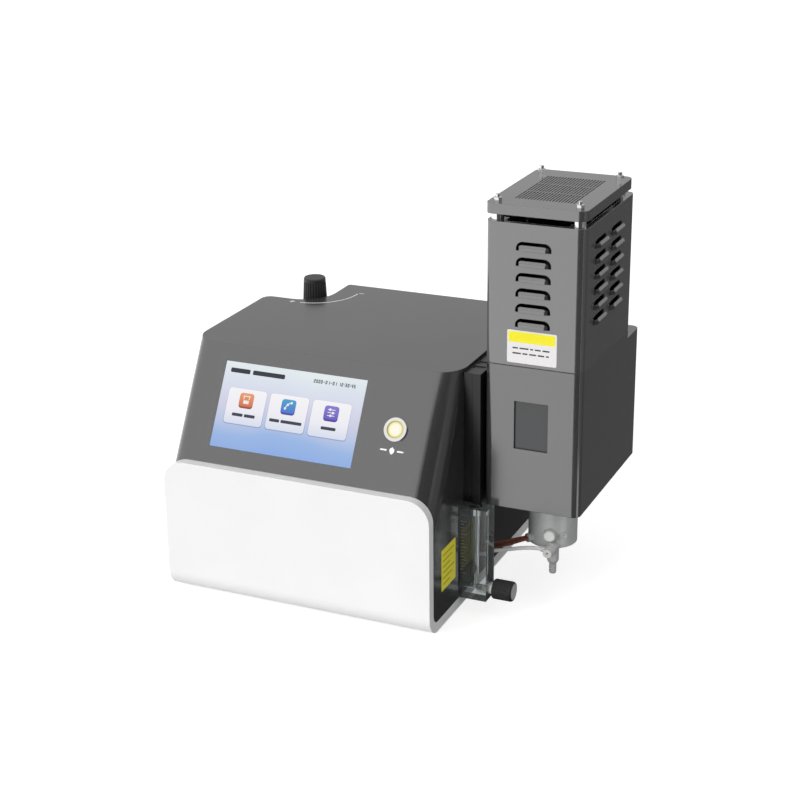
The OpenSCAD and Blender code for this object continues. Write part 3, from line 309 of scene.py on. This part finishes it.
def fillRamp(tree, level, stops):
    # A colour ramp over the level, from stops of a place and a colour; it gives the ramp's colour
    ramp = addNode(tree, "ShaderNodeValToRGB", {"Fac": level})
    for n, (place, colour) in enumerate(stops):
        stop = ramp.color_ramp.elements[n] if n < 2 else ramp.color_ramp.elements.new(place)
        stop.position = place
        stop.color = linear(colour)
    return ramp.outputs[0]


def litPicture(name, stops, top, foot, drift=0.0, glass=False):
    # A part of the lit liquid crystal screen, even and free of glare: its colour runs down the panel
    # between two distances from its top edge
    paint, tree, shader, where = newFinish(name)
    setShader(shader, roughness=0.15, specular=0.25 if glass else 0.1, emission=0.92)
    shader.inputs["Base Color"].default_value = (0.01, 0.01, 0.012, 1)
    origin = at(0, machine["slopeY"], machine["top"])
    fromTop = addNode(tree, "ShaderNodeVectorMath", {0: where, 1: tuple(origin)}, operation="SUBTRACT")
    down = addNode(tree, "ShaderNodeVectorMath", {
        0: fromTop.outputs[0], 1: (0, -math.sin(lean), -math.cos(lean))}, operation="DOT_PRODUCT")
    along = addNode(tree, "ShaderNodeMapRange", {
        "Value": down.outputs["Value"], "From Min": top / 1000, "From Max": foot / 1000})
    clouds = addNode(tree, "ShaderNodeTexNoise", {"Vector": where, "Scale": 1000 / 70, "Detail": 1.0})
    sway = addNode(tree, "ShaderNodeMapRange", {
        "Value": clouds.outputs["Fac"], "To Min": -drift, "To Max": drift})
    level = addNode(tree, "ShaderNodeMath", {0: along.outputs[0], 1: sway.outputs[0]}, operation="ADD")
    tree.links.new(fillRamp(tree, level.outputs[0], stops), shader.inputs["Emission Color"])
    return paint


def litLens(centre, axis, radius):
    # Translucent polycarbonate lens, lit from behind: near white in the middle, warm yellow at its rim
    paint, tree, shader, where = newFinish("litPolycarbonateLens")
    setShader(shader, roughness=0.25, ior=1.58, emission=0.8)
    shader.inputs["Base Color"].default_value = linear("#5c5840")
    off = addNode(tree, "ShaderNodeVectorMath", {0: where, 1: tuple(centre)}, operation="SUBTRACT")
    turned = addNode(tree, "ShaderNodeVectorMath", {0: off.outputs[0], 1: axis}, operation="CROSS_PRODUCT")
    reach = addNode(tree, "ShaderNodeVectorMath", {0: turned.outputs[0]}, operation="LENGTH")
    share = addNode(tree, "ShaderNodeMapRange", {"Value": reach.outputs["Value"], "From Max": radius / 1000})
    stops = [(0.0, "#fffff6"), (0.66, "#fdfbe6"), (0.78, "#efe5a0"), (0.9, "#d8c860"), (1.0, "#a89c50")]
    tree.links.new(fillRamp(tree, share.outputs[0], stops), shader.inputs["Emission Color"])
    return paint


panelOut = (0.0, -math.cos(lean), math.sin(lean))
panelUp = (0.0, math.sin(lean), math.cos(lean))


def onPanel(x, v):
    # A point of the panel, v below its top edge
    return at(x, machine["slopeY"], machine["top"]) - Vector(panelUp) * v / 1000


button = {"x": 238.6, "v": 61.2, "lens": 8.6}
screenGlow = [(0.0, "#e9f1f3"), (0.12, "#e1e9f2"), (0.3, "#dbdff0"), (0.5, "#d3d3e8"),
              (0.66, "#bccbe9"), (0.82, "#9bb9e8"), (1.0, "#8fb0e8")]

finishes = {
    "coverAbs": moulded("whiteMouldedAbs", "#ebebeb", 0.28),
    "housingCoat": metallicCoat("darkGreyMetallicLacquer", "#717171"),
    "towerCoat": metallicCoat("midGreyMetallicLacquer", "#858585"),
    # the burner housing's grey lacquer is set darker than the tower's: a painted reflection of the housing
    # beside it, laid into its colour
    "burnerCoatPaintedReflection": metallicCoat("greyLacquerPaintedReflection", "#7b7b7b"),
    "bracketCoat": metallicCoat("blackMetallicLacquer", "#3a3a3b", 0.3),
    "zinc": workedMetal("zincPlatedSheet", "#b9bcc0", 0.38, (1, 1, 0.1), 0.8),
    "brightSteel": workedMetal("nickelPlatedSteel", "#e2e2e2", 0.16, (1, 1, 1), 0.6, 0.03, 0.04),
    "rubber": moulded("mouldedRubber", "#1c1c1c", 0.85, 0.2, 1.2, 0.6, 0.15),
    "screen": litPicture("litTouchGlass", screenGlow, 17.6, 104.8, 0.1, True),
    "blackAbs": moulded("blackMouldedAbs", "#1d1d1f", 0.5),
    "buttonRing": workedMetal("satinChromedBrass", "#e9e8e4", 0.22, (1, 1, 1), 0.5, 0.03, 0.04),
    "lens": litLens(onPanel(button["x"], button["v"]), panelOut, button["lens"]),
    "knob": moulded("ribbedBlackNylon", "#262626", 0.42, 0.45, 0.8, 0.35, 0.08),
    "brass": workedMetal("turnedBrass", "#b0925c", 0.25, (1, 1, 1), 0.8, 0.05),
    "acrylic": clearSolid("polishedAcrylic", "#b4baba", 1.49, 0.01, 0.05, 0.87),
    "float": moulded("mouldedAcetalFloat", "#8a3a36", 0.3),
    "gland": moulded("mouldedNylonGland", "#f2f1ee", 0.4),
    # heat-tinted steel whose dark tone is partly painted shade: it stands for the shade in the gap between
    # the top plate and the inner chimney
    "burntSteelAndPaintedShade": workedMetal("heatTintedSteelPaintedShade", "#5c5650", 0.45, (1, 1, 0.2), 3.0, 0.2),
    "darkGlass": moulded("smokedHeatGlass", "#404142", 0.06),
    "standoff": workedMetal("turnedBrightAluminium", "#f4f4f4", 0.14, (1, 1, 6), 0.9, 0.04, 0.05),
    "chamber": metallicCoat("beadBlastedAluminium", "#c6c7c7", 0.36, 0.3),
    "nozzle": moulded("turnedPtfe", "#d0d0ce", 0.3),
    "plug": moulded("mouldedAcetalPlug", "#e6e6e3", 0.35),
    "knobCap": moulded("satinAnodisedCap", "#b9b9b8", 0.3),
    "copper": metallicCoat("drawnCopper", "#9a6150", 0.3, 0.5),
    "clearTube": moulded("clearSiliconeTube", "#e2e4e3", 0.18, 0.6, 1.5, 0.3, 0.03),
    "ceramic": moulded("glazedCeramic", "#e9e4d6", 0.2),
    "lensGlass": clearSolid("polishedOpticalGlass", "#f6fafa", 1.52, 0.0),
    "board": moulded("greenSolderMask", "#14502e", 0.35),
    "coil": moulded("epoxyMouldedCoil", "#1a2028", 0.45),
}
# The nodes of the CAD model that take each finish
nodeFinish = {
    "coverAbs": ["front_cover"],
    "housingCoat": ["main_housing", "rear_panel"],
    "towerCoat": ["chimney_cover", "top_plate"],
    "burnerCoatPaintedReflection": ["burner_housing", "burner_back"],
    "bracketCoat": ["side_bracket"],
    "zinc": ["chassis_plate", "display_bracket", "bracket_bolts", "burner_floor", "optics_mount",
             "power_supply", "gas_regulator"],
    "brightSteel": ["rear_screws", "button_nut", "fuel_valve_stem", "fuel_valve_nut", "flowmeter_plug",
                    "flow_valve_stem", "plate_nuts"],
    "knobCap": ["flow_knob_cap"],
    "rubber": ["rubber_feet"],
    "screen": ["display_glass"],
    "blackAbs": ["display_module", "button_switch", "optical_tube", "ignition_module", "detector_housing",
                 "power_inlet"],
    "buttonRing": ["button_bezel"],
    "lens": ["button_lens"],
    "knob": ["fuel_knob", "flow_knob", "power_rocker"],
    "brass": ["fuel_valve", "flowmeter_fittings", "wall_fittings", "hose_inlets"],
    "acrylic": ["flowmeter_block"],
    "float": ["flowmeter_float"],
    "gland": ["flow_valve_gland"],
    "burntSteelAndPaintedShade": ["inner_chimney", "burner_head"],
    "darkGlass": ["window_glass"],
    "standoff": ["plate_standoffs"],
    "chamber": ["mixing_chamber", "chamber_cap", "chamber_collar", "drain_elbow"],
    "nozzle": ["nebuliser"],
    "plug": ["port_plug"],
    "copper": ["copper_pipes"],
    "clearTube": ["air_tube"],
    "ceramic": ["igniter"],
    "lensGlass": ["lens"],
    "board": ["detector_board", "main_board"],
    "coil": ["solenoid_valve"],
}
for finish, nodes in nodeFinish.items():
    for node in nodes:
        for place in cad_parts[node].material_slots:
            place.material = finishes[finish]
print("finishes:", len(finishes))

# ---- flat printed and laid-on pieces ----


def planeAt(origin, across, up):
    # A plane in the machine's millimetres: its first two axes, and its third out of the surface
    out = Vector(across).cross(Vector(up))
    turn = Matrix((Vector(across), Vector(up), out)).transposed().to_4x4()
    return Matrix.Translation(origin) @ turn @ Matrix.Scale(0.001, 4)


flats = {"tower": 90, "wall": 290, "block": 72.5}
panelPlane = planeAt(at(0, machine["slopeY"], machine["top"]), (1, 0, 0), panelUp)
topPlane = planeAt(at(0, 0, machine["top"]), (1, 0, 0), (0, 1, 0))
towerPlane = planeAt(at(0, flats["tower"], 0), (1, 0, 0), (0, 0, 1))
wallPlane = planeAt(at(flats["wall"], 0, 0), (0, 1, 0), (0, 0, 1))
blockPlane = planeAt(at(0, flats["block"], 0), (1, 0, 0), (0, 0, 1))


def arcPoints(cx, cy, r, start, end, steps):
    return [(cx + r * math.cos(math.radians(start + (end - start) * n / steps)),
             cy + r * math.sin(math.radians(start + (end - start) * n / steps))) for n in range(steps + 1)]


def roundedOutline(x0, y0, x1, y1, r, steps=6):
    corners = ((x1 - r, y1 - r, 0), (x0 + r, y1 - r, 90), (x0 + r, y0 + r, 180), (x1 - r, y0 + r, 270))
    return [p for cx, cy, turn in corners for p in arcPoints(cx, cy, r, turn, turn + 90, steps)]


def discOutline(cx, cy, r, steps=32):
    return arcPoints(cx, cy, r, 0, 360, steps)[:-1]


def strokeOutline(points, width):
    # A stroke of that width along a line of points
    left, right = [], []
    for n, point in enumerate(points):
        before, after = points[max(n - 1, 0)], points[min(n + 1, len(points) - 1)]
        way = (Vector(after) - Vector(before)).normalized() * width / 2
        left.append((point[0] - way.y, point[1] + way.x))
        right.append((point[0] + way.y, point[1] - way.x))
    return right + left[::-1]


def addSlab(mesh, outline, plane, low, high):
    # A thin plate with this outline between two levels of the plane
    foot = [mesh.verts.new(plane @ Vector((x, y, low))) for x, y in outline]
    head = [mesh.verts.new(plane @ Vector((x, y, high))) for x, y in outline]
    mesh.faces.new(head)
    mesh.faces.new(foot[::-1])
    for n in range(len(outline)):
        m = (n + 1) % len(outline)
        mesh.faces.new((foot[n], foot[m], head[m], head[n]))


def addPatch(mesh, box, r, plane, low, high, steps=6):
    # A slab with rounded corners, from a box of left, foot, right and head
    addSlab(mesh, roundedOutline(*box, r, steps), plane, low, high)


def layPiece(name, mesh, finish, body="machine"):
    bmesh.ops.recalc_face_normals(mesh, faces=mesh.faces)
    data = bpy.data.meshes.new(name)
    mesh.to_mesh(data)
    mesh.free()
    data.materials.append(finish)
    piece = bpy.data.objects.new(name, data)
    sceneNow.collection.objects.link(piece)
    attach(piece, body)


def screenPrint(name, head, foot, top=47.6, low=63.2):
    return litPicture(name, [(0.0, head), (1.0, foot)], top, low)


screenWhite = [(0.0, "#fbfafc"), (0.6, "#f4f3fa"), (1.0, "#dde4f3")]
inks = {
    "cardWhite": litPicture("screenCardWhite", screenWhite, 43.5, 79.5),
    "cardShade": screenPrint("screenCardShade", "#d3cfe6", "#9aa3cc", 43.5, 79.5),
    "tileOrange": screenPrint("screenTileOrange", "#efa473", "#d9764f", low=61.2),
    "tileOrangeLow": screenPrint("screenTileBrown", "#c27654", "#9a4f40"),
    "tileBlue": screenPrint("screenTileBlue", "#4aa7d6", "#5277cf", low=61.2),
    "tileBlueLow": screenPrint("screenTileNavy", "#4a7cc4", "#3d4fa0"),
    "tilePurple": screenPrint("screenTilePurple", "#8a80d8", "#6d5fc4", low=61.2),
    "tilePurpleLow": screenPrint("screenTileViolet", "#6e62bc", "#514497"),
    "markWhite": screenPrint("screenMarkWhite", "#fbf4f0", "#f6f0ee"),
    "screenInk": screenPrint("screenInkDark", "#34373f", "#40434f", 20, 75),
    "panelInk": printed("whitePanelInk", "#efefef"),
    "labelWhite": printed("whiteVinylLabel", "#e4e2e3", 0.35),
    "labelYellow": printed("yellowVinylPrint", "#f0e636", 0.35),
    "labelInk": printed("greyLabelInk", "#4a4a4a"),
    "labelInkDark": printed("oliveLabelInk", "#5e5b14"),
    "tickInk": printed("greyScaleInk", "#8d9090"),
}

# The digits of a plain clock, as up to seven bars each: a is the top, b and c the right side from above,
# d the foot, e and f the left side from below, g the middle
digitBars = {"0": "abcdef", "1": "bc", "2": "abged", "3": "abgcd", "4": "fgbc", "5": "afgcd", "6": "afgedc",
             "7": "abc", "8": "abcdefg", "9": "abcdfg", "-": "g"}
# Shares of a digit's height, then shares of the width or the stroke
digits = {"wide": 0.52, "stroke": 0.19, "dots": (0.28, 0.66), "step": 1.42, "dotStep": 2.4, "soft": 0.2}


def addDigits(mesh, text, x, y, height, plane, level):
    # Digits of a height in millimetres from (x, y), their foot's left end; gives where the next would start
    w, s = height * digits["wide"], height * digits["stroke"]
    half = height / 2
    bars = {"a": (0, height - s, w, height), "b": (w - s, half, w, height), "c": (w - s, 0, w, half),
            "d": (0, 0, w, s), "e": (0, 0, s, half), "f": (0, half, s, height),
            "g": (0, half - s / 2, w, half + s / 2)}
    for sign in text:
        if sign == ":":
            boxes = [(0, spot * height, s, spot * height + s) for spot in digits["dots"]]
        else:
            boxes = [bars[bar] for bar in digitBars[sign]]
        for x0, y0, x1, y1 in boxes:
            addPatch(mesh, (x + x0, y + y0, x + x1, y + y1), s * digits["soft"], plane, 0, level, 1)
        x += s * digits["dotStep"] if sign == ":" else w * digits["step"]
    return x


# The screen's picture, in millimetres from the left end of the cover and down from the panel's top edge
screen = {
    "cards": ((53.2, 95.6), (100.0, 142.4), (147.0, 188.6)), "cardTop": 43.5, "cardFoot": 79.5,
    "cardRound": 3.2, "shade": (-0.5, -1.0, 0.6, 0.4), "shadeRound": 0.4,
    "tile": 15.5, "tileTop": 47.6, "tileRound": 3.0, "tileShift": (-0.2, 0.0, 0.4), "tileFoot": 1.9,
    "tileShadow": 0.2, "title": (50.3, 111.0, 23.8, 28.4), "titleRuns": ((0.0, 0.36), (0.41, 1.0)),
    "titleRound": 1.2, "clockFoot": 27.2, "clockTall": 3.5, "clockFrom": 142.8,
    "captions": ((12, 12), (11, 23), (16,)), "captionTop": 68.7, "captionFoot": 71.8, "captionRound": 0.9,
    "gap": 1.6,
}
layer = 0.06  # each printed layer of the screen's picture, in millimetres


def drawScreen():
    cards, shades, title, marks = (bmesh.new() for _ in range(4))
    tiles = [bmesh.new() for _ in range(3)]
    tileFeet = [bmesh.new() for _ in range(3)]
    top, foot, r = -screen["cardTop"], -screen["cardFoot"], screen["cardRound"]
    high, size, tileRound = -screen["tileTop"], screen["tile"], screen["tileRound"]
    left, low, right, up = screen["shade"]
    for n, (x0, x1) in enumerate(screen["cards"]):
        addPatch(shades, (x0 + left, foot + low, x1 + right, top + up), r + screen["shadeRound"],
                 panelPlane, 0.01, layer)
        addPatch(cards, (x0, foot, x1, top), r, panelPlane, 0.01, layer * 2)
        mid = (x0 + x1) / 2 + screen["tileShift"][n]
        start, end = mid - size / 2, mid + size / 2
        addPatch(tileFeet[n], (start + screen["tileShadow"], high - size, end + screen["tileShadow"], high),
                 tileRound, panelPlane, 0.02, layer * 3)
        addPatch(tiles[n], (start, high - size + screen["tileFoot"], end, high),
                 tileRound, panelPlane, 0.02, layer * 4)
        drawMark(marks, n, mid, high - (size - screen["tileFoot"]) / 2)
        runs = screen["captions"][n]
        x = mid - (sum(runs) + screen["gap"] * (len(runs) - 1)) / 2
        for run in runs:
            addPatch(title, (x, -screen["captionFoot"], x + run, -screen["captionTop"]),
                     screen["captionRound"], panelPlane, 0.02, layer * 3)
            x += run + screen["gap"]
    x0, x1, top, foot = screen["title"]
    for start, end in screen["titleRuns"]:
        addPatch(title, (x0 + (x1 - x0) * start, -foot, x0 + (x1 - x0) * end, -top),
                 screen["titleRound"], panelPlane, 0.01, layer)
    x = screen["clockFrom"]
    for text in ("2000-01-01", "12:30:45"):
        x = addDigits(title, text, x, -screen["clockFoot"], screen["clockTall"], panelPlane, layer)
        x += screen["gap"]
    layPiece("screenCardShades", shades, inks["cardShade"])
    layPiece("screenCards", cards, inks["cardWhite"])
    for n, colour in enumerate(("Orange", "Blue", "Purple")):
        layPiece("screenTileFoot" + colour, tileFeet[n], inks["tile" + colour + "Low"])
        layPiece("screenTile" + colour, tiles[n], inks["tile" + colour])
    layPiece("screenMarks", marks, inks["markWhite"])
    layPiece("screenBars", title, inks["screenInk"])


def drawMark(mesh, kind, cx, cy):
    # The tiles' own plain motifs: a beaker, a rising curve with its points, and three sliders
    low, high = 0.05, layer * 5

    def stroke(points, width=0.9):
        addSlab(mesh, strokeOutline([(cx + x, cy + y) for x, y in points], width), panelPlane, low, high)

    def dot(x, y, r):
        addSlab(mesh, discOutline(cx + x, cy + y, r, 14), panelPlane, low, high)

    if kind == 0:
        filled = [(cx - 3, cy - 4), (cx + 3, cy - 4), (cx + 3, cy - 0.6), (cx - 3, cy - 0.6)]
        addSlab(mesh, filled, panelPlane, low, high)
        stroke([(-3, 0.2), (-3, 3.4)], 0.8)
        stroke([(3, 0.2), (3, 3.4)], 0.8)
        stroke([(-4, 3.7), (4, 3.7)], 0.8)
    elif kind == 1:
        stroke(arcPoints(4.6, -4.2, 8.0, 178, 100, 8))
        for x, y in ((-3.2, -2.4), (-0.9, 1.4), (2.9, 3.6)):
            dot(x, y, 1.25)
    else:
        for y, knob in ((3.0, -1.6), (0.0, 1.8), (-3.0, -0.4)):
            stroke([(-4, y), (4, y)], 0.7)
            dot(knob, y, 1.3)


drawScreen()

sign = {"v": 81.8, "flame": 3.1, "wide": 0.80, "drop": 0.4, "tip": 1.0, "dash": (5.4, 12.2), "thick": 1.5}


def drawButtonSign():
    # A small flame with a dash at each side, under the button
    mesh = bmesh.new()
    r, x, y = sign["flame"], button["x"], -sign["v"]
    flame = []
    for turn in range(0, 360, 15):
        t = math.radians(turn)
        rise = sign["tip"] if turn == 180 else 0.0
        flame.append((x + r * sign["wide"] * math.sin(t) * (1 - 0.25 * math.cos(t)),
                      y - sign["drop"] - r * math.cos(t) + rise))
    addSlab(mesh, flame, panelPlane, 0.01, layer)
    near, far = sign["dash"]
    half = sign["thick"] / 2
    for x0, x1 in ((x - far, x - near), (x + near, x + far)):
        addPatch(mesh, (x0, y - half, x1, y + half), 0.4, panelPlane, 0.01, layer, 2)
    layPiece("buttonSign", mesh, inks["panelInk"])


drawButtonSign()

dial = {"centre": (43.0, 268.0), "r": 48.0, "from": -86.0, "to": 4.0, "thick": 1.5, "plus": (36.7, 220.3),
        "plusArm": 3.2, "minus": (94.6, 273.7), "minusArm": 3.0, "signThick": 1.3}


def drawDial():
    # The printed arc around the fuel knob, with a plus and a minus at its ends
    mesh = bmesh.new()

    def stroke(points, width, high):
        addSlab(mesh, strokeOutline(points, width), topPlane, 0.005, high)

    stroke(arcPoints(*dial["centre"], dial["r"], dial["from"], dial["to"], 36), dial["thick"], layer)
    x, y = dial["plus"]
    arm = dial["plusArm"]
    stroke([(x - arm, y), (x + arm, y)], dial["signThick"], layer)
    # the upright is a little lower, so that the two don't share a face
    stroke([(x, y - arm), (x, y + arm)], dial["signThick"], layer * 0.9)
    x, y = dial["minus"]
    arm = dial["minusArm"]
    stroke([(x - arm, y), (x + arm, y)], dial["signThick"], layer)
    layPiece("dialPrint", mesh, inks["panelInk"])


drawDial()

vinyl = {"thick": 0.12, "printLow": 0.02, "printHigh": 0.16}
towerLabel = {"box": (333.0, 267.0, 382.5, 299.5), "head": 10.4, "round": 1.6, "side": 1.5, "above": 1.4,
              "indent": 5.5, "dash": 1.5, "gap": 1.6,
              "rows": ((281.2, (5.5, 9, 3, 6, 7)), (276.0, (8.5, 5, 7, 6.5, 3)))}


def layTowerLabel():
    # A vinyl label with a coloured head and two rows of plain dashes where words would be
    x0, z0, x1, z1 = towerLabel["box"]
    base, head, rules = (bmesh.new() for _ in range(3))
    addPatch(base, towerLabel["box"], towerLabel["round"], towerPlane, 0.0, vinyl["thick"])
    edge = z1 - towerLabel["above"]
    addPatch(head, (x0 + towerLabel["side"], edge - towerLabel["head"], x1 - towerLabel["side"], edge),
             0.5, towerPlane, vinyl["printLow"], vinyl["printHigh"])
    for z, widths in towerLabel["rows"]:
        x = x0 + towerLabel["indent"]
        for width in widths:
            addPatch(rules, (x, z, x + width, z + towerLabel["dash"]), 0.4,
                     towerPlane, vinyl["printLow"], vinyl["printHigh"], 2)
            x += width + towerLabel["gap"]
    layPiece("towerLabel", base, inks["labelWhite"])
    layPiece("towerLabelHead", head, inks["labelYellow"])
    layPiece("towerLabelRules", rules, inks["labelInk"])


layTowerLabel()

wallLabel = {"box": (30.0, 42.0, 66.0, 86.0), "round": 1.2, "rules": 6, "first": 7, "pitch": 6.2,
             "side": 4, "shorter": 5, "rule": 0.8}


def layWallLabel():
    # A yellow vinyl label on the right wall, with blank ruled lines
    y0, z0, y1, z1 = wallLabel["box"]
    base, rules = bmesh.new(), bmesh.new()
    addPatch(base, wallLabel["box"], wallLabel["round"], wallPlane, 0.0, vinyl["thick"])
    for n in range(wallLabel["rules"]):
        z = z1 - wallLabel["first"] - wallLabel["pitch"] * n
        end = y1 - wallLabel["side"] - (n % 3) * wallLabel["shorter"]
        addPatch(rules, (y0 + wallLabel["side"], z, end, z + wallLabel["rule"]), 0.3,
                 wallPlane, vinyl["printLow"], vinyl["printHigh"], 2)
    layPiece("wallLabel", base, inks["labelYellow"])
    layPiece("wallLabelRules", rules, inks["labelInkDark"])


layWallLabel()

flowScale = {"x": (293.0, 296.4, 299.4), "from": 45.0, "to": 101.0, "ticks": 17, "half": 0.25}


def printFlowScale():
    # The scale of the flow meter, printed on the front of its block, with every fourth tick longer
    mesh = bmesh.new()
    left, short, long_ = flowScale["x"]
    half = flowScale["half"]
    for n in range(flowScale["ticks"]):
        z = flowScale["from"] + (flowScale["to"] - flowScale["from"]) * n / (flowScale["ticks"] - 1)
        end = long_ if n % 4 == 0 else short
        addSlab(mesh, [(left, z - half), (end, z - half), (end, z + half), (left, z + half)],
                blockPlane, 0.005, layer)
    layPiece("flowScale", mesh, inks["tickInk"])


printFlowScale()

vent = {"x": (328.2, 390.5), "from": 114.3, "to": 211.0, "pitch": 32 / 12, "bar": 1.3, "top": 419.4,
        "thick": 1.2}


def weaveVent():
    # Bars across the top plate's slots, which make them rows of small holes
    mesh = bmesh.new()
    x0, x1 = vent["x"]
    half = vent["bar"] / 2
    across = planeAt(at(0, 0, vent["top"]), (1, 0, 0), (0, 1, 0))
    y = vent["from"]
    while y <= vent["to"]:
        addSlab(mesh, [(x0, y - half), (x1, y - half), (x1, y + half), (x0, y + half)],
                across, -vent["thick"], 0)
        y += vent["pitch"]
    layPiece("ventBars", mesh, finishes["towerCoat"])


weaveVent()
